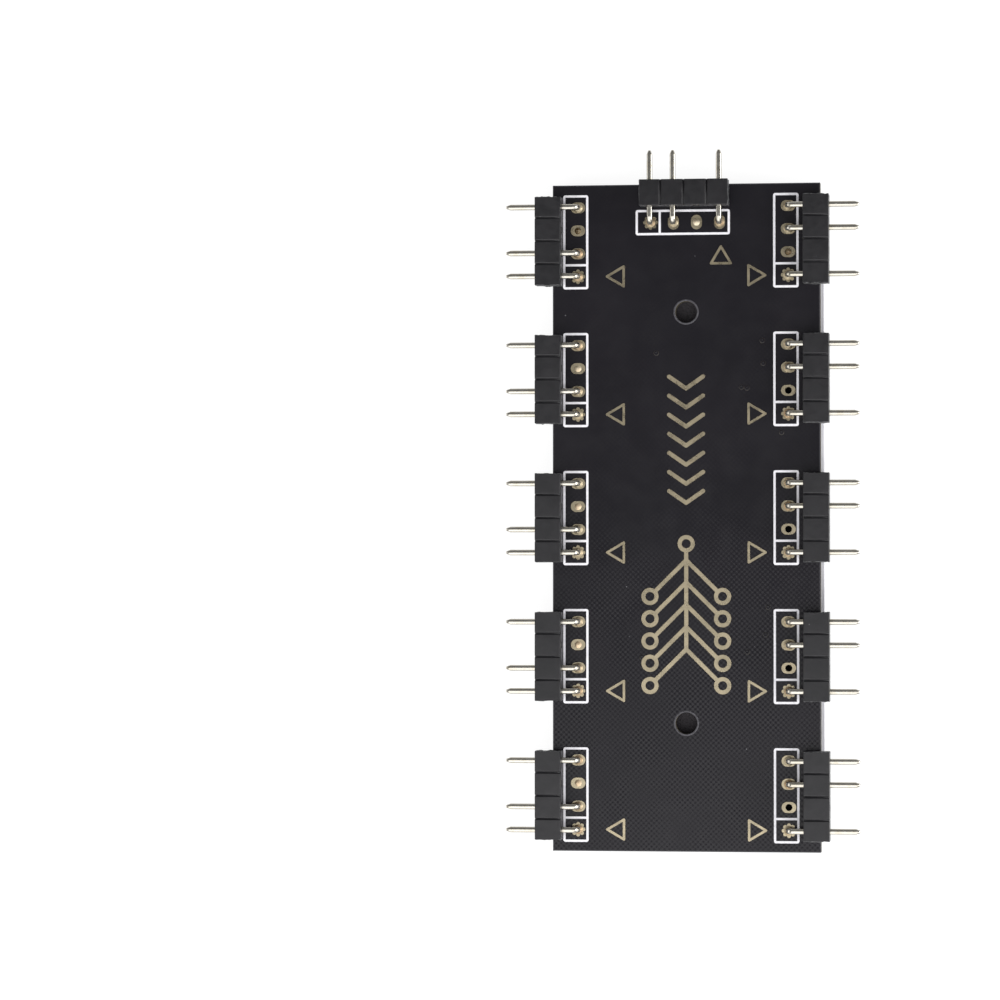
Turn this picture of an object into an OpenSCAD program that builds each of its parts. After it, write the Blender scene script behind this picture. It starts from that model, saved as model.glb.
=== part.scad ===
// Ten-way splitter board for addressable light strips. Five right-angle pin headers
// stand on each long edge of a black circuit board and the input header on its top
// edge. An adhesive foam pad with its release liner covers the back. X runs across
// the board, Y along it towards the input header and Z up. The origin is under the
// centre of the board, on the face that the liner rests on.

/* [Board] */
// Width of the circuit board
board_w = 29.5; // [27:0.1:36]
// Thickness of the circuit board
board_t = 1.6; // [0.8:0.1:2.4]
// Distance from the top end of the board to the centre of the first side headers
top_margin = 6.3; // [6:0.1:12]
// Distance from the bottom end of the board to the centre of the last side headers
bottom_margin = 6.2; // [5.8:0.1:12]
// Diameter of the two screw holes
screw_hole_d = 2.4; // [2:0.1:3.4]
// Distance from each end of the board to the centre of its screw hole
screw_hole_inset = 14.1; // [13:0.1:16]

/* [Header places] */
// Number of headers on each long edge
outlets_per_side = 5; // [5:1:8]
// Distance between the centres of neighbouring side headers
header_pitch = 15.24; // [13.5:0.01:20]
// Distance from the left edge of the board to the left row of pads
left_inset = 2.8; // [2.2:0.1:4]
// Distance from the right edge of the board to the right row of pads
right_inset = 3.5; // [2.2:0.1:4]
// Distance from the top edge of the board to the row of input pads
input_inset = 4.2; // [3:0.1:5.5]
// Distance of the input header to the left of the board's centre line
input_shift = 0.1; // [0:0.1:1]

/* [Header housings] */
// Height of the moulded housings above the board
housing_h = 2.54; // [2:0.01:3.5]
// Depth of the housings along the pins
housing_d = 2.85; // [2:0.05:4]
// Distance from the row of pads to the inner face of the housings
housing_setback = 1.7; // [1.6:0.05:2.4]
// Length that is trimmed off each end of a row of housing cells
end_trim = 0.16; // [0:0.02:0.22]
// Width of the break-off grooves between the housing cells
groove_w = 0.2; // [0.1:0.05:0.8]
// Depth of the break-off grooves
groove_d = 0.25; // [0.1:0.05:0.7]
// Clearance round each pin in its passage through the housing
pin_play = 0.01; // [0:0.01:0.05]

/* [Header pins] */
// Distance between the centres of neighbouring pins
pin_pitch = 2.54; // [2.4:0.01:2.8]
// Width of the square pins
pin_w = 0.64; // [0.5:0.01:0.66]
// Length of the pins outside the housings
pin_reach = 3.3; // [2:0.1:8]
// Length of the pin tails below the board
pin_tail = 1.1; // [0.9:0.05:1.5]
// Radius of the bend at the middle of the pins
pin_bend_r = 0.6; // [0.4:0.05:0.85]
// Length of the tapered tips
pin_tip_l = 0.5; // [0.2:0.05:0.8]
// Width of the flat at the end of the tips
pin_tip_w = 0.3; // [0.2:0.02:0.44]

/* [Pads and solder] */
// Inner diameter of the plated holes that hold a pin
hole_d = 0.96; // [0.94:0.01:1.1]
// Inner diameter of the plated holes that hold no pin
spare_hole_d = 0.76; // [0.6:0.02:1.1]
// Thickness of the plating, in the holes and on the pads
plate_t = 0.05; // [0.03:0.01:0.08]
// Length of the oval pads across the row
pad_l = 1.6; // [1.5:0.05:1.9]
// Width of the pads along the row
pad_w = 1.2; // [1.14:0.02:1.5]
// Radius of the lobes of the rosette pads
lobe_r = 0.21; // [0.12:0.01:0.26]
// Height of the solder cones under the board
solder_h = 0.8; // [0.5:0.05:0.85]
// Depth of the solder below the top of the board in a hole that holds a pin
solder_sink = 0.1; // [0:0.05:0.6]

/* [Foam pad and liner] */
// Thickness of the adhesive foam pad
foam_t = 2; // [1.7:0.1:3]
// Distance from the long edges of the board to the edges of the foam pad
foam_side_margin = 0.5; // [0.2:0.1:1.2]
// Distance from the ends of the board to the ends of the foam pad
foam_end_margin = 1.2; // [0.6:0.1:1.6]
// Distance that the foam pad sits to the right of the board's centre line
foam_shift = 0.3; // [0:0.05:0.5]
// Radius of the corners of the pad and the liner
foam_corner_r = 1; // [0.5:0.1:3]
// Thickness of the release liner
liner_t = 0.12; // [0.08:0.01:0.3]
// Distance that the liner stands out past the foam pad
liner_lip = 0.5; // [0.2:0.05:1]
// Clearance round the solder joints in the pockets of the foam
pocket_play = 0.1; // [0.05:0.01:0.2]

/* [Markings] */
// Thickness of the white print
print_t = 0.03; // [0.02:0.01:0.06]
// Width of the white lines
print_line = 0.25; // [0.15:0.01:0.3]
// Width of the white boxes round the pads, between the middles of their lines
box_w = 2.55; // [2.4:0.05:2.7]
// Distance that the white print sits to the left of the pads
print_shift = 0.25; // [0:0.01:0.25]
// Width of the lines of the gold triangles
mark_line = 0.27; // [0.15:0.01:0.4]
// Length of the base of the gold triangles, over their lines
mark_base = 2.45; // [1.6:0.05:3]
// Height of the gold triangles, over their lines
mark_h = 2.25; // [1.5:0.05:3]
// Distance from the left row of pads to the tips of its triangles
left_mark_gap = 2.95; // [1.8:0.05:3.5]
// Distance from the right row of pads to the tips of its triangles
right_mark_gap = 2.25; // [1.8:0.05:3.5]
// Distance from the input pads to the tip of the input triangle
input_mark_gap = 2.45; // [1.8:0.05:3.5]
// Distance of the input triangle to the right of the last input pad
mark_shift = 0.15; // [0:0.05:0.5]

/* [Ornament] */
// Width of the lines of the ornament
ornament_line = 0.45; // [0.2:0.05:0.6]
// Number of chevrons that lead down to the branch ornament
chevrons = 7; // [3:1:7]
// Distance from the board's middle to the tip of the lowest chevron
chevron_start = 1.6; // [0:0.1:2]
// Distance between neighbouring chevrons
chevron_pitch = 2.1; // [1.2:0.1:2.2]
// Width of the chevrons, over their lines
chevron_w = 4.2; // [2:0.1:6]
// Height of the chevrons at the middle of their lines
chevron_h = 1.3; // [0.6:0.1:2]
// Number of branches on each side of the branch ornament
branches = 5; // [2:1:5]
// Distance between neighbouring branches
branch_pitch = 2.45; // [2.2:0.05:2.6]
// Distance from the trunk to the middle of the rings
branch_reach = 4; // [3:0.1:5]
// Radius of the rings, over their lines
ring_r = 0.95; // [0.6:0.05:1]
// Distance from the board's middle to the ring at the top of the trunk
trunk_top = 2.9; // [2:0.1:4]
// Distance from that ring to the first branches
trunk_lead = 1.8; // [1.5:0.1:2.2]

/* [Hidden] */
// Small number that carries cuts clear of the faces they open
over = 1;
$fn = 36;

// Positions in a header, counted from the top end of a side header and from the
// left end of the input header
POSITIONS = 4;
// Lobes round a rosette pad
LOBES = 8;
// Steps of the hollow curve of a solder cone
CONE_STEPS = 3;

board_l = (outlets_per_side - 1) * header_pitch + top_margin + bottom_margin;
liner_top = liner_t;
foam_top = liner_top + foam_t;
board_bottom = foam_top;
board_top = board_bottom + board_t;

left_x = -board_w / 2 + left_inset;
right_x = board_w / 2 - right_inset;
input_y = board_l / 2 - input_inset;
screw_hole_y = board_l / 2 - screw_hole_inset;

housing_l = POSITIONS * pin_pitch - 2 * end_trim;
pin_axis_z = housing_h / 2;
pin_tip_x = housing_setback + housing_d + pin_reach;
passage_w = pin_w + 2 * pin_play;
pocket_r = pad_l / 2 + pocket_play;
pocket_depth = pin_tail + pocket_play;
foam_w = board_w - 2 * foam_side_margin;
foam_l = board_l - 2 * foam_end_margin;
box_l = POSITIONS * pin_pitch;

ROWS = ["left", "right", "input"];
OUTLETS = [1 : outlets_per_side];

// Headers of a row, as a range of their numbers
function headers(row) = row == "input" ? [1 : 1] : OUTLETS;

// Name that starts the names of the pieces of a header
function header_name(row, i) = row == "input" ? "input" : str(row, "_", i);

// Positions of a header that hold a pin
function pin_places(row) = row == "left" ? [1, 3, 4] : [1, 2, 4];

// Position whose hole has no pin
function empty_place(row) = row == "left" ? 2 : 3;

// Inner diameter of the plated hole at a position
function hole_size(row, k) = k == empty_place(row) ? spare_hole_d : hole_d;

// Position that the white line sets apart, with a rosette pad
function boxed_place(row) = row == "input" ? 1 : POSITIONS;

// Whether solder fills the hole that has no pin
function is_plugged(row, i) = row == "input" || (row == "left" && i > 1);

// Place of a side header along the board
function header_y(i) = board_l / 2 - top_margin - (i - 1) * header_pitch;

// Place of a position along its header
function place_y(k) = ((POSITIONS + 1) / 2 - k) * pin_pitch;

// Distance of a branch below the ring at the top of the trunk
function branch_y(k) = trunk_lead + (k - 1) * branch_pitch;

// Puts its children at a header, with X outward along its pins, Y along the row
// towards its first position and Z up from the top of the board
module at_header(row, i) {
    if (row == "left")
        translate([left_x, header_y(i), board_top])
            mirror([1, 0, 0])
                children();
    else if (row == "right")
        translate([right_x, header_y(i), board_top])
            children();
    else
        translate([-input_shift, input_y, board_top])
            rotate(90)
                children();
}

// Puts its children at a position of a header
module at_place(row, i, k) {
    at_header(row, i)
        translate([0, place_y(k), 0])
            children();
}

// Rectangle with round corners, as an outline
module round_rect(w, l, r) {
    square([w - 2 * r, l], center = true);
    square([w, l - 2 * r], center = true);
    for (x = [-1, 1], y = [-1, 1])
        translate([x * (w / 2 - r), y * (l / 2 - r)])
            circle(r);
}

// Line from a to b with round ends, as an outline
module line(a, b, w) {
    d = b - a;
    translate(a)
        rotate(atan2(d.y, d.x))
            translate([0, -w / 2])
                square([norm(d), w]);
    for (p = [a, b])
        translate(p)
            circle(d = w);
}

// Oval pad round a hole, longest across the row
module oval_pad() {
    square([pad_l - pad_w, pad_w], center = true);
    for (x = [-1, 1])
        translate([x * (pad_l - pad_w) / 2, 0])
            circle(d = pad_w);
}

// Pad with a ring of lobes, which marks the position that the white line sets apart
module rosette_pad() {
    circle(d = pad_w);
    for (a = [0 : 360 / LOBES : 359])
        rotate(a)
            translate([pad_l / 2 - lobe_r, 0])
                circle(lobe_r);
}

// Pads of both faces and the plated wall of the hole between them
module plated_hole(inner_d, is_boxed) {
    difference() {
        union() {
            linear_extrude(plate_t)
                if (is_boxed)
                    rosette_pad();
                else
                    oval_pad();
            translate([0, 0, -board_t])
                cylinder(d = inner_d + 2 * plate_t, h = board_t);
            translate([0, 0, -board_t - plate_t])
                linear_extrude(plate_t)
                    oval_pad();
        }
        translate([0, 0, -board_t - over])
            cylinder(d = inner_d, h = board_t + 2 * over);
    }
}

// Hollow cone of solder round a pin tail, from the lower pad down
module solder_cone() {
    foot_r = pad_w / 2;
    neck_r = pin_w * sqrt(2) / 2 + plate_t;
    rotate_extrude()
        polygon([
            [0, 0],
            for (s = [0 : CONE_STEPS])
                [neck_r + (foot_r - neck_r) * pow(1 - s / CONE_STEPS, 2), -solder_h * s / CONE_STEPS],
            [0, -solder_h]
        ]);
}

// Solder that fills a hole round its pin and climbs its tail
module solder_joint() {
    difference() {
        union() {
            translate([0, 0, -board_t - plate_t])
                cylinder(d = hole_d, h = board_t + plate_t - solder_sink);
            translate([0, 0, -board_t - plate_t])
                solder_cone();
        }
        translate([-pin_w / 2, -pin_w / 2, -board_t - pin_tail - over])
            cube([pin_w, pin_w, board_t + pin_tail + 2 * over]);
    }
}

// Solder that fills a hole with no pin, with a low dome on each face
module solder_plug() {
    dome_r = spare_hole_d;
    dome_drop = dome_r - sqrt(dome_r * dome_r - spare_hole_d * spare_hole_d / 4);
    translate([0, 0, -board_t - plate_t])
        cylinder(d = spare_hole_d, h = board_t + 2 * plate_t);
    for (face = [0, 1])
        translate([0, 0, face == 1 ? plate_t : -board_t - plate_t])
            mirror([0, 0, 1 - face])
                intersection() {
                    translate([0, 0, dome_drop - dome_r])
                        sphere(dome_r);
                    cylinder(d = spare_hole_d, h = dome_r);
                }
}

// Outline of a housing across its pins: a row of cells with grooves between them
module housing_outline() {
    difference() {
        square([housing_l, housing_h], center = true);
        for (k = [1 : POSITIONS - 1], side = [-1, 1])
            translate([(k - POSITIONS / 2) * pin_pitch, side * housing_h / 2])
                polygon([[-groove_w / 2, 0], [0, -groove_d], [groove_w / 2, 0], [0, groove_d]]);
    }
}

// Moulded housing with a square passage for each position
module header_housing(row, i) {
    color("#2b2b2d")
        at_header(row, i)
            translate([housing_setback, 0, pin_axis_z])
                difference() {
                    rotate([90, 0, 90])
                        linear_extrude(housing_d)
                            housing_outline();
                    for (k = [1 : POSITIONS])
                        translate([-over, place_y(k) - passage_w / 2, -passage_w / 2])
                            cube([housing_d + 2 * over, passage_w, passage_w]);
                }
}

// Side of a bar that lies along X, with a tapered tip at its far end
module tipped_outline(length) {
    polygon([
        [0, -pin_w / 2],
        [length - pin_tip_l, -pin_w / 2],
        [length, -pin_tip_w / 2],
        [length, pin_tip_w / 2],
        [length - pin_tip_l, pin_w / 2],
        [0, pin_w / 2]
    ]);
}

// Square bar along X whose far end tapers on all four sides
module tipped_bar(length) {
    intersection() {
        translate([0, 0, -pin_w / 2])
            linear_extrude(pin_w)
                tipped_outline(length);
        rotate([90, 0, 0])
            translate([0, 0, -pin_w / 2])
                linear_extrude(pin_w)
                    tipped_outline(length);
    }
}

// Square pin: an arm through the housing, a bend over the hole and a tail through it
module header_pin(row, i, k) {
    bend_z = pin_axis_z - pin_bend_r;
    color("#e0c98c")
        at_place(row, i, k) {
            translate([pin_bend_r, 0, pin_axis_z])
                tipped_bar(pin_tip_x - pin_bend_r);
            translate([pin_bend_r, 0, bend_z])
                rotate([90, 0, 0])
                    rotate_extrude(angle = 90, start = 90)
                        translate([pin_bend_r, 0])
                            square(pin_w, center = true);
            translate([0, 0, bend_z])
                rotate([0, 90, 0])
                    tipped_bar(bend_z + board_t + pin_tail);
        }
}

// Black board with the drilled pad holes and the two screw holes
module circuit_board() {
    color("#26252a")
        difference() {
            translate([-board_w / 2, -board_l / 2, board_bottom])
                cube([board_w, board_l, board_t]);
            for (row = ROWS, i = headers(row), k = [1 : POSITIONS])
                at_place(row, i, k)
                    translate([0, 0, -board_t - over])
                        cylinder(d = hole_size(row, k) + 2 * plate_t, h = board_t + 2 * over);
            for (end = [-1, 1])
                translate([0, end * screw_hole_y, board_bottom - over])
                    cylinder(d = screw_hole_d, h = board_t + 2 * over);
        }
}

// Foam pad with a pocket pressed into it under each pad hole
module foam_pad() {
    color("#1b1b1d")
        difference() {
            translate([foam_shift, 0, liner_top])
                linear_extrude(foam_t)
                    round_rect(foam_w, foam_l, foam_corner_r);
            for (row = ROWS, i = headers(row), k = [1 : POSITIONS])
                at_place(row, i, k)
                    translate([0, 0, -board_t - pocket_depth])
                        cylinder(r = pocket_r, h = pocket_depth + over);
        }
}

// Paper liner under the foam pad, which stands out past its edges
module release_liner() {
    color("#e9e8ec")
        translate([foam_shift, 0, 0])
            linear_extrude(liner_t)
                round_rect(foam_w + 2 * liner_lip, foam_l + 2 * liner_lip, foam_corner_r + liner_lip);
}

// Pads and plated holes of a row of headers
module pads(row) {
    color("#d9c58a")
        for (i = headers(row), k = [1 : POSITIONS])
            at_place(row, i, k)
                plated_hole(hole_size(row, k), k == boxed_place(row));
}

// Solder of a row of headers
module solder(row) {
    color("#b9bab8")
        for (i = headers(row)) {
            for (k = pin_places(row))
                at_place(row, i, k)
                    solder_joint();
            if (is_plugged(row, i))
                at_place(row, i, empty_place(row))
                    solder_plug();
        }
}

// Box round the pads, with its dividing line towards the end that side names
module box_outline(side) {
    difference() {
        round_rect(box_w + print_line, box_l + print_line, print_line);
        square([box_w - print_line, box_l - print_line], center = true);
    }
    translate([0, side * pin_pitch * (POSITIONS / 2 - 1)])
        square([box_w, print_line], center = true);
}

// White box round the pads of each header, with the line that sets one pad apart
module header_outlines() {
    color("white")
        for (row = ROWS, i = headers(row))
            translate([-print_shift, 0, 0])
                at_header(row, i)
                    linear_extrude(print_t)
                        box_outline(boxed_place(row) == 1 ? 1 : -1);
}

// Gold outline triangle with its tip at the origin, pointing along X
module triangle() {
    r = mark_line / 2;
    tip = [-2 * r, 0];
    far = [-mark_h + r, mark_base / 2 - r];
    near = [far.x, -far.y];
    line(tip, far, mark_line);
    line(far, near, mark_line);
    line(near, tip, mark_line);
}

// Gold triangles beside the headers
module pin_one_marks() {
    color("#d9c58a")
        translate([0, 0, board_top])
            linear_extrude(plate_t) {
                for (i = OUTLETS) {
                    translate([left_x + left_mark_gap, header_y(i) + place_y(POSITIONS)])
                        rotate(180)
                            triangle();
                    translate([right_x - right_mark_gap, header_y(i) + place_y(POSITIONS)])
                        triangle();
                }
                translate([mark_shift - input_shift - place_y(POSITIONS), input_y - input_mark_gap])
                    rotate(90)
                        triangle();
            }
}

// Gold chevrons that point down the board from the input to the branch ornament
module flow_chevrons() {
    color("#d9c58a")
        translate([0, 0, board_top])
            linear_extrude(plate_t)
                for (k = [1 : chevrons], side = [-1, 1])
                    translate([0, chevron_start + (k - 1) * chevron_pitch])
                        line([0, 0], [side * (chevron_w - ornament_line) / 2, chevron_h], ornament_line);
}

// Ring, as an outline
module ring() {
    difference() {
        circle(ring_r);
        circle(ring_r - ornament_line);
    }
}

// Gold trunk with a ring at its top, whose slanted branches end in rings
module branch_tree() {
    trunk_start = ring_r - ornament_line / 2;
    branch_end = branch_reach - trunk_start * cos(45);
    color("#d9c58a")
        translate([0, -trunk_top, board_top])
            linear_extrude(plate_t) {
                ring();
                line([0, -trunk_start], [0, -branch_y(branches)], ornament_line);
                for (k = [1 : branches], side = [-1, 1])
                    translate([0, -branch_y(k)]) {
                        line([0, 0], [side * branch_end, -branch_end], ornament_line);
                        translate([side * branch_reach, -branch_reach])
                            ring();
                    }
            }
}

circuit_board();
foam_pad();
release_liner();
for (row = ROWS, i = headers(row))
    header_housing(row, i);
for (row = ROWS, i = headers(row), k = pin_places(row))
    header_pin(row, i, k);
for (row = ROWS)
    pads(row);
for (row = ROWS)
    solder(row);
header_outlines();
pin_one_marks();
flow_chevrons();
branch_tree();
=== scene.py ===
"""Looks of a ten-way splitter board for addressable light strips.

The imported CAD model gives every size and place. This script rounds the edges of the
header housings, crowns the faces of the pins and lets the rim of the release liner lift
a little. It adds the solder that creeps up the pins and what stands in two empty holes,
the bare rims of the screw holes and the vias under the solder mask, and gives every
surface its finish. It then adds the floor, the lights and the camera.

Lengths are in metres. X runs across the board, Y towards the input header and Z up.
"""

import math

import bmesh
import bpy
from mathutils import Matrix, Vector, noise


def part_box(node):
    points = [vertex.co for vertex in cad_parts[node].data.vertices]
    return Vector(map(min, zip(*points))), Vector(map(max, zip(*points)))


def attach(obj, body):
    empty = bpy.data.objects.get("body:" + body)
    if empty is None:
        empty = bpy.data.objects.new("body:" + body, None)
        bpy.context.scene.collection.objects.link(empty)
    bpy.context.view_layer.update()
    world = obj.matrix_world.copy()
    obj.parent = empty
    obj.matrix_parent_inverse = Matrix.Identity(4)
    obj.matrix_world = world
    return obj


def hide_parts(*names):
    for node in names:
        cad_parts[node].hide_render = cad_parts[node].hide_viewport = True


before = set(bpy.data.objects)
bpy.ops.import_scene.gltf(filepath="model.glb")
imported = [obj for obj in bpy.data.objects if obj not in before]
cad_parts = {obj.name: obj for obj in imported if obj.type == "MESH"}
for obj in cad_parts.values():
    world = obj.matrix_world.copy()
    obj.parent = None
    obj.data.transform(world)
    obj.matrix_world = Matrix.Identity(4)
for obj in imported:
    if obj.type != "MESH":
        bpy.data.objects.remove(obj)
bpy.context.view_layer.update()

MM = 0.001
UP = Vector((0, 0, 1))
BODY = "root"
# Sides of small round shapes
SIDES = 24

# Places that the frame gives
board_low, board_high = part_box("circuit_board")
foam_low, foam_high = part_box("foam_pad")
liner_low, liner_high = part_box("release_liner")
BOARD_TOP = board_high.z

# The photograph: side of its frame, where the middle of the board shows, and scale
PHOTO_SIDE = 1000
BOARD_MIDDLE_PX = (686.2, 517.9)
PX_PER_M = 9080
# Place of the camera over the middle of the board's top
EYE = Vector((35, -8, 450)) * MM
SENSOR = 36.0

# Screw holes
SCREW_HOLE_R = 1.2 * MM
SCREW_HOLE_INSET = 14.1 * MM
SCREW_HOLE_Y = board_high.y - SCREW_HOLE_INSET
RIM_W = 0.2 * MM
RIM_H = 0.02 * MM

# Header pins: bend and tapered tips
PIN_BEND_R = 0.6 * MM
PIN_TIP_L = 0.5 * MM
PIN_TIP_W = 0.3 * MM

# Vias under the solder mask, in millimetres from the middle of the board
VIAS = [
    (-3.3, 18.1), (8.5, 16.9), (8.4, 19.4), (6.1, 14.3), (6.7, 14.2),
    (10.5, 9.3), (6.7, -14.8), (-4.9, -15.4), (8.7, -12.9), (9.0, -9.9),
]
VIA_R = 0.28 * MM
VIA_H = 0.03 * MM

# Pins on both sides of the two holes where solder stands low, and its depth there
LOW_SOLDER_BETWEEN = [("left_1_pin_1", "left_1_pin_3"), ("right_1_pin_2", "right_1_pin_4")]
LOW_SOLDER_DEPTH = 1.45 * MM

# Lamps: name, place, what each faces, width, length and radiance
LAMPS = [
    ("overhead", (0.1, -0.53, 0.95), (0.1, -0.53, 0), 1.9, 0.96, 2.0),
    ("front", (-0.15, -0.8, 0.45), (0, 0, 0), 1.1, 0.5, 2.0),
    ("left_fill", (-0.9, -0.05, 0.25), (0, 0, 0), 0.7, 0.4, 1.5),
    ("right_fill", (0.85, -0.1, 0.35), (0, 0, 0), 0.7, 0.4, 7.0),
]
SURROUND_COLOUR = (0.97, 0.98, 1, 1)
SURROUND_STRENGTH = 0.25


class Look:
    """A node material round one Principled shader, with short calls that add nodes.

    The colour and roughness it starts with are for a viewer that reads no nodes.
    """

    def __init__(self, name, colour, roughness, metallic=0.0):
        self.material = bpy.data.materials.new(name)
        self.material.use_nodes = True
        self.nodes = self.material.node_tree.nodes
        self.links = self.material.node_tree.links
        self.shader = self.nodes["Principled BSDF"]
        self.set("Base Color", (*colour, 1))
        self.set("Roughness", roughness)
        self.set("Metallic", metallic)
        self.position = self.add("TexCoord").outputs["Object"]
        self.surface = None

    def feed(self, socket, value):
        """Links a socket to another one, or gives it a plain value."""
        if isinstance(value, bpy.types.NodeSocket):
            self.links.new(value, socket)
        else:
            socket.default_value = value

    def set(self, name, value):
        """Feeds a socket of the shader."""
        self.feed(self.shader.inputs[name], value)

    def add(self, kind, inputs=None, **settings):
        """Adds a node with its settings and the values or links of its inputs."""
        node = self.nodes.new("ShaderNode" + kind)
        for key, value in settings.items():
            setattr(node, key, value)
        for key, value in (inputs or {}).items():
            self.feed(node.inputs[key], value)
        return node

    def math(self, operation, a, b=0.0):
        return self.add("Math", {0: a, 1: b}, operation=operation).outputs[0]

    def axes(self):
        """X, Y and Z of the shaded point."""
        return self.add("SeparateXYZ", {0: self.position}).outputs

    def noise(self, size, detail=2.0, stretch=(1, 1, 1)):
        """Noise whose grains are about that size, longer along an axis that is stretched."""
        scale = tuple(1 / (size * s) for s in stretch)
        grid = self.add("Mapping", {"Vector": self.position, "Scale": scale})
        node = self.add("TexNoise", {"Vector": grid.outputs[0], "Scale": 1.0, "Detail": detail})
        return node.outputs[0]

    def cells(self, size):
        """Distance to the nearest of points that lie about that size apart."""
        node = self.add("TexVoronoi", {"Vector": self.position, "Scale": 1 / size})
        return node.outputs["Distance"]

    def between(self, share, a, b):
        """Number between a and b."""
        return self.add("Mix", {0: share, 2: a, 3: b}).outputs[0]

    def ramp(self, value, low, high, start=0.0, end=1.0):
        """Goes smoothly from start to end while the value goes from low to high."""
        inputs = {"Value": value, "From Min": low, "From Max": high, "To Min": start, "To Max": end}
        return self.add("MapRange", inputs, interpolation_type="SMOOTHSTEP").outputs[0]

    def mix(self, share, a, b):
        """Colour between a and b."""
        node = self.add("Mix", data_type="RGBA")
        self.feed(node.inputs["Factor"], share)
        for socket, value in zip([s for s in node.inputs if s.type == "RGBA"], (a, b)):
            self.feed(socket, value if isinstance(value, bpy.types.NodeSocket) else (*value, 1))
        return next(s for s in node.outputs if s.type == "RGBA")

    def bump(self, height, depth):
        """Raises the surface by the height times the depth, over what is raised already."""
        inputs = {"Height": height, "Distance": depth}
        if self.surface:
            inputs["Normal"] = self.surface
        self.surface = self.add("Bump", inputs).outputs[0]
        self.set("Normal", self.surface)

    def steepness(self):
        """1 on faces that look up or down and 0 on upright ones."""
        normal = self.add("NewGeometry").outputs["Normal"]
        up = self.math("ABSOLUTE", self.add("SeparateXYZ", {0: normal}).outputs[2])
        return self.ramp(up, 0.45, 0.55)

    def dust(self, colour, lighter, spacing, reach):
        """The colour with a few small light specks on it."""
        speck = self.ramp(self.cells(spacing), 0.5 * reach, reach, 1.0, 0.0)
        return self.mix(self.math("MULTIPLY", speck, lighter), colour, (0.55, 0.55, 0.58))


def board_look():
    """Black solder mask over woven laminate, with bare laminate on the cut faces and a paler band
    round the edge of the mask that is partly wear and partly painted highlight.
    """
    weave_pitch = 0.57 * MM
    look = Look("solder_mask_finish", (0.01, 0.0095, 0.012), 0.22)
    look.set("Specular IOR Level", 0.24)
    x, y, z = look.axes()[:3]
    turns = 2 * math.pi / weave_pitch
    waves = [look.math("SINE", look.math("MULTIPLY", axis, turns)) for axis in (x, y)]
    patchy = look.ramp(look.noise(6 * MM, 3), 0.35, 0.65, 0.35, 1.0)
    patchy = look.math("MULTIPLY", patchy, look.ramp(y, -20 * MM, 10 * MM, 1.0, 0.3))
    weave = look.math("MULTIPLY", look.math("MULTIPLY", *waves), patchy)
    cloud = look.noise(9 * MM, 3)
    mask = look.mix(look.ramp(cloud, 0.3, 0.7), (0.0092, 0.0084, 0.0112), (0.0118, 0.0106, 0.0138))
    half_w = (board_high.x - board_low.x) / 2
    half_l = (board_high.y - board_low.y) / 2
    gaps = [
        look.math("SUBTRACT", half, look.math("ABSOLUTE", axis))
        for half, axis in ((half_w, x), (half_l, y))
    ]
    ragged = look.math("MULTIPLY", look.noise(0.3 * MM), 0.08 * MM)
    to_edge = look.math("SUBTRACT", look.math("MINIMUM", *gaps), ragged)
    # Paler grey band along the board's outer edges: partly bare laminate where the mask wore off,
    # partly a painted highlight of the mask's edge
    edge_wear_and_highlight = look.ramp(to_edge, 0.02 * MM, 0.1 * MM, 0.55, 0.0)
    mask = look.mix(edge_wear_and_highlight, mask, (0.1, 0.1, 0.11))
    mask = look.dust(mask, 0.2, 3.1 * MM, 0.03)
    layers = look.math("SINE", look.math("MULTIPLY", z, 2 * math.pi / (0.19 * MM)))
    fibres = look.noise(0.12 * MM, 3, stretch=(6, 6, 0.5))
    laminate = look.mix(look.ramp(fibres, 0.3, 0.7), (0.045, 0.038, 0.028), (0.13, 0.11, 0.078))
    flat = look.steepness()
    look.set("Base Color", look.mix(flat, laminate, mask))
    gloss = look.ramp(look.noise(2.5 * MM, 4), 0.3, 0.7, 0.19, 0.26)
    look.set("Roughness", look.between(flat, 0.75, gloss))
    look.bump(look.math("MULTIPLY", weave, flat), 0.006 * MM)
    look.bump(look.noise(0.16 * MM, 3), 0.0015 * MM)
    cut = look.math("MULTIPLY", layers, look.math("SUBTRACT", 1.0, flat))
    look.bump(look.math("MULTIPLY", cut, fibres), 0.02 * MM)
    return look.material


def rim_look():
    """Bare, crushed laminate round the screw holes."""
    look = Look("bare_laminate_finish", (0.08, 0.078, 0.085), 0.5)
    spots = look.ramp(look.noise(0.25 * MM, 3), 0.35, 0.65)
    look.set("Base Color", look.mix(spots, (0.035, 0.033, 0.039), (0.075, 0.072, 0.082)))
    look.set("Roughness", look.ramp(spots, 0, 1, 0.4, 0.6))
    look.bump(look.noise(0.1 * MM, 3), 0.01 * MM)
    return look.material


def housing_look():
    """Black moulded plastic, satin, with a fine spark-eroded grain."""
    look = Look("housing_finish", (0.012, 0.012, 0.013), 0.42)
    look.set("Specular IOR Level", 0.45)
    cloud = look.ramp(look.noise(2.2 * MM, 3), 0.3, 0.7)
    plastic = look.mix(cloud, (0.0062, 0.0058, 0.0073), (0.011, 0.0102, 0.0122))
    look.set("Base Color", look.dust(plastic, 0.25, 2.3 * MM, 0.03))
    look.set("Roughness", look.ramp(look.noise(0.6 * MM, 4), 0.3, 0.7, 0.3, 0.4))
    look.bump(look.noise(0.07 * MM, 3), 0.004 * MM)
    look.bump(look.noise(0.9 * MM, 2), 0.01 * MM)
    return look.material


def torn_look():
    """Plastic of the broken ends of the housings, paler where it was stretched."""
    look = Look("torn_plastic_finish", (0.05, 0.05, 0.052), 0.6)
    stretched = look.ramp(look.noise(0.3 * MM, 4), 0.35, 0.7)
    look.set("Base Color", look.mix(stretched, (0.02, 0.02, 0.021), (0.13, 0.13, 0.135)))
    look.set("Roughness", look.ramp(stretched, 0, 1, 0.5, 0.75))
    look.bump(look.noise(0.12 * MM, 4), 0.03 * MM)
    return look.material


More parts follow.
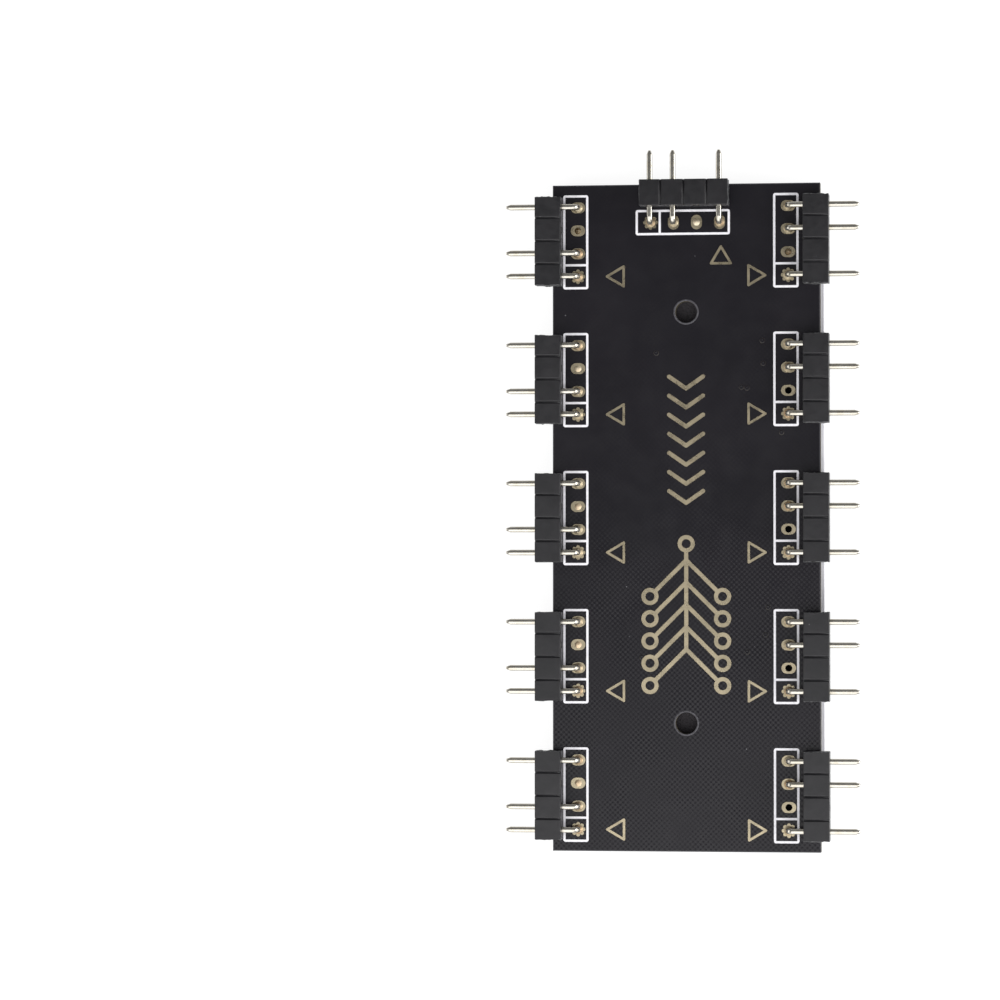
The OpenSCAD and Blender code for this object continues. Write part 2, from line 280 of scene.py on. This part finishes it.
def pin_look():
    """Bright gold plating on drawn wire, with faint draw marks and a few dull clouds."""
    look = Look("pin_gold_finish", (0.66, 0.62, 0.53), 0.24, metallic=1.0)
    cloud = look.ramp(look.noise(0.9 * MM, 3), 0.4, 0.75)
    look.set("Base Color", look.mix(cloud, (0.53, 0.505, 0.45), (0.47, 0.435, 0.36)))
    look.set("Roughness", look.ramp(look.noise(0.6 * MM, 3), 0.3, 0.7, 0.17, 0.25))
    look.bump(look.noise(0.5 * MM, 2), 0.0003 * MM)
    return look.material


def pad_look():
    """Dull gold plating of the pads and marks, clouded and finely grained."""
    look = Look("pad_gold_finish", (0.44, 0.34, 0.21), 0.45, metallic=1.0)
    cloud = look.ramp(look.noise(1.6 * MM, 4), 0.32, 0.7)
    tone = look.mix(cloud, (0.42, 0.36, 0.25), (0.31, 0.27, 0.19))
    grain = look.ramp(look.noise(0.12 * MM, 3), 0.35, 0.65)
    look.set("Base Color", look.mix(look.math("MULTIPLY", grain, 0.4), tone, (0.49, 0.42, 0.29)))
    look.set("Roughness", look.ramp(look.noise(0.9 * MM, 3), 0.3, 0.7, 0.24, 0.36))
    look.bump(look.noise(0.09 * MM, 3), 0.002 * MM)
    return look.material


def solder_look():
    """Tin solder, slightly rippled, with a trace of yellow flux."""
    look = Look("solder_finish", (0.5, 0.47, 0.4), 0.3, metallic=1.0)
    flux = look.ramp(look.noise(3 * MM, 3), 0.35, 0.65)
    look.set("Base Color", look.mix(flux, (0.72, 0.64, 0.48), (0.68, 0.52, 0.35)))
    look.set("Roughness", look.ramp(look.noise(0.3 * MM, 3), 0.3, 0.7, 0.45, 0.6))
    look.bump(look.noise(0.3 * MM, 2), 0.004 * MM)
    return look.material


def print_look():
    """White screen-print ink with the tooth of the mask under it."""
    look = Look("white_print_finish", (0.9, 0.88, 0.92), 0.5)
    thin = look.ramp(look.noise(0.35 * MM, 4), 0.35, 0.75)
    look.set("Base Color", look.mix(thin, (0.89, 0.875, 0.91), (0.78, 0.765, 0.81)))
    look.set("Roughness", look.ramp(thin, 0, 1, 0.45, 0.6))
    look.bump(look.noise(0.1 * MM, 3), 0.005 * MM)
    return look.material


def foam_look():
    """Dark closed-cell foam whose cut cells show on its sides."""
    look = Look("foam_finish", (0.022, 0.02, 0.023), 0.85)
    cell = look.ramp(look.cells(0.16 * MM), 0.0, 0.6)
    look.set("Base Color", look.mix(cell, (0.016, 0.015, 0.018), (0.032, 0.028, 0.033)))
    look.set("Roughness", look.ramp(cell, 0, 1, 0.95, 0.75))
    look.bump(cell, 0.03 * MM)
    look.bump(look.noise(0.09 * MM, 3), 0.006 * MM)
    return look.material


def liner_look():
    """Coated paper, nearly white and faintly blue, with short fibres."""
    look = Look("liner_finish", (0.93, 0.93, 0.96), 0.4)
    fibre = look.ramp(look.noise(0.5 * MM, 4, stretch=(1, 3, 1)), 0.3, 0.7)
    look.set("Base Color", look.mix(fibre, (0.91, 0.91, 0.95), (0.95, 0.95, 0.98)))
    look.set("Roughness", look.ramp(fibre, 0, 1, 0.35, 0.5))
    look.bump(fibre, 0.003 * MM)
    return look.material


def add_piece(name, mesh, material, slot, *nodes):
    """Makes an object of a bmesh, which rides on the body and stands for these nodes."""
    data = bpy.data.meshes.new(name)
    mesh.to_mesh(data)
    mesh.free()
    data.materials.append(material)
    data.shade_smooth()
    piece = bpy.data.objects.new(name, data)
    bpy.context.scene.collection.objects.link(piece)
    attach(piece, BODY)
    if nodes:
        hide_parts(*nodes)
    return piece


def ring_of_verts(mesh, middle, radius, rise, sides=SIDES):
    """Vertices of a level circle, that much over its middle."""
    angles = [2 * math.pi * k / sides for k in range(sides)]
    return [
        mesh.verts.new(middle + Vector((radius * math.cos(a), radius * math.sin(a), rise)))
        for a in angles
    ]


def skin(mesh, rings):
    """Faces between each ring of vertices and the next one."""
    count = len(rings[0])
    for ring, after in zip(rings, rings[1:]):
        for k in range(count):
            j = (k + 1) % count
            mesh.faces.new((ring[k], after[k], after[j], ring[j]))


def fan(mesh, middle, ring):
    """Faces between one vertex and the ring round it."""
    for a, b in zip(ring, ring[1:] + ring[:1]):
        mesh.faces.new((middle, a, b))


def tidy_copy(node):
    """Copy of a CAD node's mesh whose flat faces are single faces."""
    weld = 0.0005 * MM
    flat = math.radians(0.5)
    mesh = bmesh.new()
    mesh.from_mesh(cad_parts[node].data)
    bmesh.ops.remove_doubles(mesh, verts=mesh.verts, dist=weld)
    bmesh.ops.dissolve_limit(mesh, angle_limit=flat, verts=mesh.verts, edges=mesh.edges)
    return mesh


def round_edges(mesh, radius, segments):
    """Rounds the outer edges of a mesh."""
    sharp = math.radians(30)
    edges = [e for e in mesh.edges if e.is_manifold and e.is_convex and e.calc_face_angle() > sharp]
    bmesh.ops.bevel(
        mesh, geom=edges, offset=radius, segments=segments, profile=0.5, affect="EDGES",
        clamp_overlap=True,
    )


def even_normals(piece):
    piece.modifiers.new("even_normals", "WEIGHTED_NORMAL").keep_sharp = True


def pin_stations(reach, axis_z, bottom_z, width):
    """Distance out, height, turn and width of the pin's sections from its tip to its tail."""
    slim, chamfer, steps = 0.2 * MM, 0.07 * MM, 8
    chamfer_w = PIN_TIP_W + (width - PIN_TIP_W) * chamfer / PIN_TIP_L
    centre_z = axis_z - PIN_BEND_R
    down = math.pi / 2
    stations = [(reach, axis_z, 0, slim), (reach - chamfer, axis_z, 0, chamfer_w)]
    stations.append((reach - PIN_TIP_L, axis_z, 0, width))
    for s in range(steps + 1):
        turn = down * s / steps
        out = PIN_BEND_R * (1 - math.sin(turn))
        stations.append((out, centre_z + PIN_BEND_R * math.cos(turn), turn, width))
    stations.append((0, bottom_z + PIN_TIP_L, down, width))
    stations += [(0, bottom_z + chamfer, down, chamfer_w), (0, bottom_z, down, slim)]
    return stations


def pin_lie(node):
    """Place of a pin's tail, direction and span of its arm, and its width."""
    low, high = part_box(node)
    middle = (low + high) / 2
    size = high - low
    outward = Vector((math.copysign(1, middle.x), 0, 0)) if size.x > size.y else Vector((0, 1, 0))
    width = abs(size.dot(outward.cross(UP)))
    span = abs(size.dot(outward))
    return middle - outward * (span - width) / 2, outward, span, width


def bright_pin(node, material):
    """A bent pin with the crowned faces of rolled wire, in the place of its CAD node."""
    squareness = 2.5
    low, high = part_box(node)
    tail, outward, span, width = pin_lie(node)
    across = outward.cross(UP)
    corner = []
    for k in range(SIDES):
        angle = 2 * math.pi * k / SIDES
        way = (math.cos(angle), math.sin(angle))
        corner.append([math.copysign(abs(v) ** (2 / squareness), v) / 2 for v in way])
    mesh = bmesh.new()
    rings = []
    for out, z, turn, w in pin_stations(span - width / 2, high.z - width / 2, low.z, width):
        place = Vector((tail.x, tail.y, z)) + outward * out
        over = UP * math.cos(turn) - outward * math.sin(turn)
        rings.append([mesh.verts.new(place + across * a * w + over * b * w) for a, b in corner])
    skin(mesh, rings)
    mesh.faces.new(rings[0])
    mesh.faces.new(rings[-1][::-1])
    bmesh.ops.recalc_face_normals(mesh, faces=mesh.faces)
    even_normals(add_piece(node + "_crowned", mesh, material, "pin_gold", node))


def solder_fillets(material, pins):
    """Solder that has crept up the pins above the pads."""
    height, grain, spread = 0.38, 0.5 * MM, 0.25
    profile = [(0.54, 0), (0.46, 0.05), (0.41, 0.13), (0.375, 0.25)]
    profile += [(0.35, height), (0.3, height), (0.3, 0)]
    mesh = bmesh.new()
    for node in pins:
        foot = pin_lie(node)[0]
        foot.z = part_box("left_pads")[1].z
        rings = []
        for radius, rise in profile:
            ring = ring_of_verts(mesh, foot, radius * MM, 0)
            for v in ring:
                uneven = 1 + spread * noise.noise(v.co / grain) * rise / height
                v.co.z += rise * MM * uneven
            rings.append(ring)
        skin(mesh, rings[:1] + rings[::-1])
    add_piece("solder_fillets", mesh, material, "solder_metal")


def sunk_solder(material):
    """Solder that stands low in two of the holes that hold no pin."""
    profile = [(0.12, 0.0), (0.26, 0.02), (0.34, 0.07), (0.37, 0.14), (0.37, -0.15)]
    mesh = bmesh.new()
    for beside in LOW_SOLDER_BETWEEN:
        hole = sum((pin_lie(node)[0] for node in beside), Vector()) / 2
        hole.z = BOARD_TOP - LOW_SOLDER_DEPTH
        rings = [ring_of_verts(mesh, hole, radius * MM, rise * MM) for radius, rise in profile]
        skin(mesh, rings)
        mesh.faces.new(rings[0])
        mesh.faces.new(rings[-1][::-1])
    add_piece("sunk_solder", mesh, material, "solder_metal")


def moulded_housing(node, plastic, torn):
    """A housing with rounded edges and rough ends, where it was broken off a longer row."""
    radius, step, deepest, band = 0.08 * MM, 0.16 * MM, 0.13 * MM, 0.1 * MM
    low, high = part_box(node)
    axis = 0 if high.x - low.x > high.y - low.y else 1
    ends = (low[axis], high[axis])
    mesh = tidy_copy(node)
    for end in ends:
        edges = [e for e in mesh.edges if all(abs(v.co[axis] - end) < radius for v in e.verts)]
        for edge in edges:
            cuts = round(edge.calc_length() / step) - 1
            bmesh.ops.subdivide_edges(mesh, edges=[edge], cuts=cuts)
    round_edges(mesh, radius, 2)
    for v in mesh.verts:
        for end, inward in zip(ends, (1, -1)):
            near = 1 - abs(v.co[axis] - end) / band
            if near > 0:
                depth = noise.noise(v.co / (0.55 * MM)) + 0.5 * noise.noise(v.co / (0.2 * MM))
                v.co[axis] += inward * near * deepest * min(max(0.45 + depth, 0), 1)
    for face in mesh.faces:
        middle = face.calc_center_median()[axis]
        if min(abs(middle - end) for end in ends) < band:
            face.material_index = 1
    piece = add_piece(node + "_rounded", mesh, plastic, "housing_plastic", node)
    piece.data.materials.append(torn)
    even_normals(piece)


def paint(node, material):
    """Gives a CAD node its finish."""
    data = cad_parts[node].data
    data.materials.clear()
    data.materials.append(material)


def ring_of_points(centre, half_w, half_l, corner, steps):
    """Points round a rectangle with round corners, evenly turned at each corner."""
    points = []
    for quarter in range(4):
        side_x = 1 if quarter in (0, 3) else -1
        side_y = 1 if quarter in (0, 1) else -1
        for s in range(steps + 1):
            angle = (quarter + s / steps) * math.pi / 2
            points.append(
                Vector((
                    centre.x + side_x * (half_w - corner) + corner * math.cos(angle),
                    centre.y + side_y * (half_l - corner) + corner * math.sin(angle),
                ))
            )
    return points


def split_sides(points, length):
    """The same closed line with more points, no further apart than that length."""
    dense = []
    for a, b in zip(points, points[1:] + points[:1]):
        count = max(1, math.ceil((b - a).length / length))
        dense += [a.lerp(b, s / count) for s in range(count)]
    return dense


def release_liner(material):
    """The liner with a rim that lifts a little, unevenly, past the edge of the foam."""
    corner, lift, step = 1.5 * MM, 0.16 * MM, 0.8 * MM
    thickness = liner_high.z - liner_low.z
    centre = (liner_low + liner_high) / 2
    half = (liner_high - liner_low) / 2
    lip = foam_low.x - liner_low.x
    outline = split_sides(ring_of_points(centre, half.x, half.y, corner, 8), step)
    mesh = bmesh.new()
    rings = []
    for share in (0.0, 0.35, 0.7, 1.0):
        ring = []
        for p in outline:
            inward = Vector((
                min(max(p.x, centre.x - half.x + corner), centre.x + half.x - corner),
                min(max(p.y, centre.y - half.y + corner), centre.y + half.y - corner),
            )) - p
            q = p + inward.normalized() * lip * (1 - share)
            wave = 0.5 + 0.3 * math.sin(p.y / (5.3 * MM) + p.x / (4 * MM))
            wave += 0.2 * math.sin(p.y / (2.1 * MM))
            ring.append((q, lift * wave * share * share))
        rings.append(ring)
    bottom, top = [
        [[mesh.verts.new((q.x, q.y, liner_low.z + z + up)) for q, up in ring] for ring in rings]
        for z in (0.0, thickness)
    ]
    skin(mesh, top + bottom[::-1])
    mesh.faces.new(top[0])
    mesh.faces.new(bottom[0][::-1])
    even_normals(add_piece("release_liner_sheet", mesh, material, "liner_paper", "release_liner"))


def screw_hole_rims(material):
    """Low beads of bare laminate round the two screw holes."""
    sides, steps = 72, 5
    shares = [s / steps for s in range(steps + 1)]
    profile = [(RIM_W * share, RIM_H * math.sin(share * math.pi)) for share in shares]
    profile += [(RIM_W, -RIM_H), (0, -RIM_H)]
    mesh = bmesh.new()
    for end in (-1, 1):
        middle = Vector((0, end * SCREW_HOLE_Y, BOARD_TOP))
        rings = [
            ring_of_verts(mesh, middle, SCREW_HOLE_R + out, rise, sides) for out, rise in profile
        ]
        skin(mesh, rings + rings[:1])
    add_piece("screw_hole_rims", mesh, material, "solder_mask")


def tented_vias(material):
    """Low domes where the mask covers a via, each with a dimple at its middle."""
    dimple = 0.35
    profile = [(0.3, 0.45), (0.6, 1.0), (0.85, 0.6), (1.0, 0.0)]
    mesh = bmesh.new()
    for x, y in VIAS:
        middle = Vector((x * MM, y * MM, BOARD_TOP))
        rings = [
            ring_of_verts(mesh, middle, VIA_R * share, VIA_H * height) for share, height in profile
        ]
        fan(mesh, mesh.verts.new(middle + UP * VIA_H * dimple), rings[0])
        skin(mesh, rings)
        mesh.faces.new(rings[-1][::-1])
    add_piece("tented_vias", mesh, material, "solder_mask")


def dress_the_part():
    """Gives every node its finish and adds the pieces that the CAD model leaves out."""
    board = board_look()
    plastic = housing_look()
    torn = torn_look()
    pin_gold = pin_look()
    pad_gold = pad_look()
    solder = solder_look()
    paint("circuit_board", board)
    paint("foam_pad", foam_look())
    for node in ("pin_one_marks", "flow_chevrons", "branch_tree"):
        paint(node, pad_gold)
    for row in ("left", "right", "input"):
        paint(row + "_pads", pad_gold)
        paint(row + "_solder", solder)
    paint("header_outlines", print_look())
    pins = [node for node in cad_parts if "_pin_" in node]
    for node in pins:
        bright_pin(node, pin_gold)
    solder_fillets(solder, pins)
    sunk_solder(solder)
    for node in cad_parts:
        if node.endswith("_housing"):
            moulded_housing(node, plastic, torn)
    release_liner(liner_look())
    screw_hole_rims(rim_look())
    tented_vias(board)


def add_floor():
    """Pale floor that curves up into a round backdrop."""
    reach, rise, turn = 3.0, 0.55, 0.4
    sides, steps = 96, 12
    profile = [(0.1, 0.0), (0.3, 0.0), (1.0, 0.0), (reach - turn, 0.0)]
    for s in range(1, steps + 1):
        angle = s / steps * math.pi / 2
        profile.append((reach - turn + turn * math.sin(angle), turn - turn * math.cos(angle)))
    profile.append((reach, rise))
    mesh = bmesh.new()
    middle = mesh.verts.new((0, 0, 0))
    rings = [ring_of_verts(mesh, Vector(), radius, z, sides) for radius, z in profile]
    fan(mesh, middle, rings[0])
    skin(mesh, rings)
    data = bpy.data.meshes.new("floor")
    mesh.to_mesh(data)
    mesh.free()
    data.shade_smooth()
    data.materials.append(floor_look())
    floor = bpy.data.objects.new("floor", data)
    bpy.context.scene.collection.objects.link(floor)


def floor_look():
    """White for the camera and in reflections, where it keeps a light shadow."""
    look = Look("floor_finish", (0.8, 0.8, 0.8), 0.9)
    rays = look.add("LightPath").outputs
    seen = look.math("MAXIMUM", rays["Is Camera Ray"], rays["Is Glossy Ray"])
    seen = look.math("MAXIMUM", seen, rays["Is Transmission Ray"])
    cover = look.add("BsdfDiffuse", {"Color": (0.2, 0.2, 0.2, 1)})
    glow = look.add("Emission", {"Color": (1, 1, 1, 1), "Strength": 0.89})
    both = look.add("AddShader", {0: cover.outputs[0], 1: glow.outputs[0]})
    pick = look.add("MixShader", {0: seen, 1: look.shader.outputs[0], 2: both.outputs[0]})
    look.links.new(pick.outputs[0], look.nodes["Material Output"].inputs["Surface"])
    return look.material


def add_softbox(name, place, aim, width, length, radiance):
    """Rectangular lamp of an even radiance, which the camera doesn't see."""
    data = bpy.data.lights.new(name, "AREA")
    data.shape = "RECTANGLE"
    data.size = width
    data.size_y = length
    data.energy = radiance * math.pi * width * length
    lamp = bpy.data.objects.new(name, data)
    lamp.location = place
    lamp.rotation_mode = "QUATERNION"
    lamp.rotation_quaternion = (Vector(aim) - Vector(place)).to_track_quat("-Z", "Y")
    lamp.visible_camera = False
    bpy.context.scene.collection.objects.link(lamp)


def add_light():
    """Softboxes over, before and beside the board, in a plain grey surround."""
    world = bpy.data.worlds.new("surround")
    world.use_nodes = True
    background = world.node_tree.nodes["Background"]
    background.inputs["Color"].default_value = SURROUND_COLOUR
    background.inputs["Strength"].default_value = SURROUND_STRENGTH
    bpy.context.scene.world = world
    for lamp in LAMPS:
        add_softbox(*lamp)


def add_camera():
    """Camera of the photograph, which looks at the middle of its frame."""
    middle = Vector((0, 0, BOARD_TOP))
    eye = middle + EYE
    focal_px = EYE.length * PX_PER_M
    right_px = BOARD_MIDDLE_PX[0] - PHOTO_SIDE / 2
    down_px = BOARD_MIDDLE_PX[1] - PHOTO_SIDE / 2
    lean_x = math.atan2(EYE.x, EYE.z) + math.atan2(right_px, focal_px)
    lean_y = math.atan2(EYE.y, EYE.z) - math.atan2(down_px, focal_px)
    back = Vector((math.tan(lean_x), math.tan(lean_y), 1)).normalized()
    right = Vector((0, 1, 0)).cross(back).normalized()
    up = back.cross(right)
    data = bpy.data.cameras.new("camera")
    data.sensor_width = SENSOR
    data.lens = SENSOR * focal_px / PHOTO_SIDE
    data.clip_start = 0.01
    camera = bpy.data.objects.new("camera", data)
    camera.matrix_world = Matrix.Translation(eye) @ Matrix((right, up, back)).transposed().to_4x4()
    bpy.context.scene.collection.objects.link(camera)
    bpy.context.scene.camera = camera


add_camera()
dress_the_part()
add_floor()
add_light()
bpy.context.scene.view_settings.view_transform = "Standard"
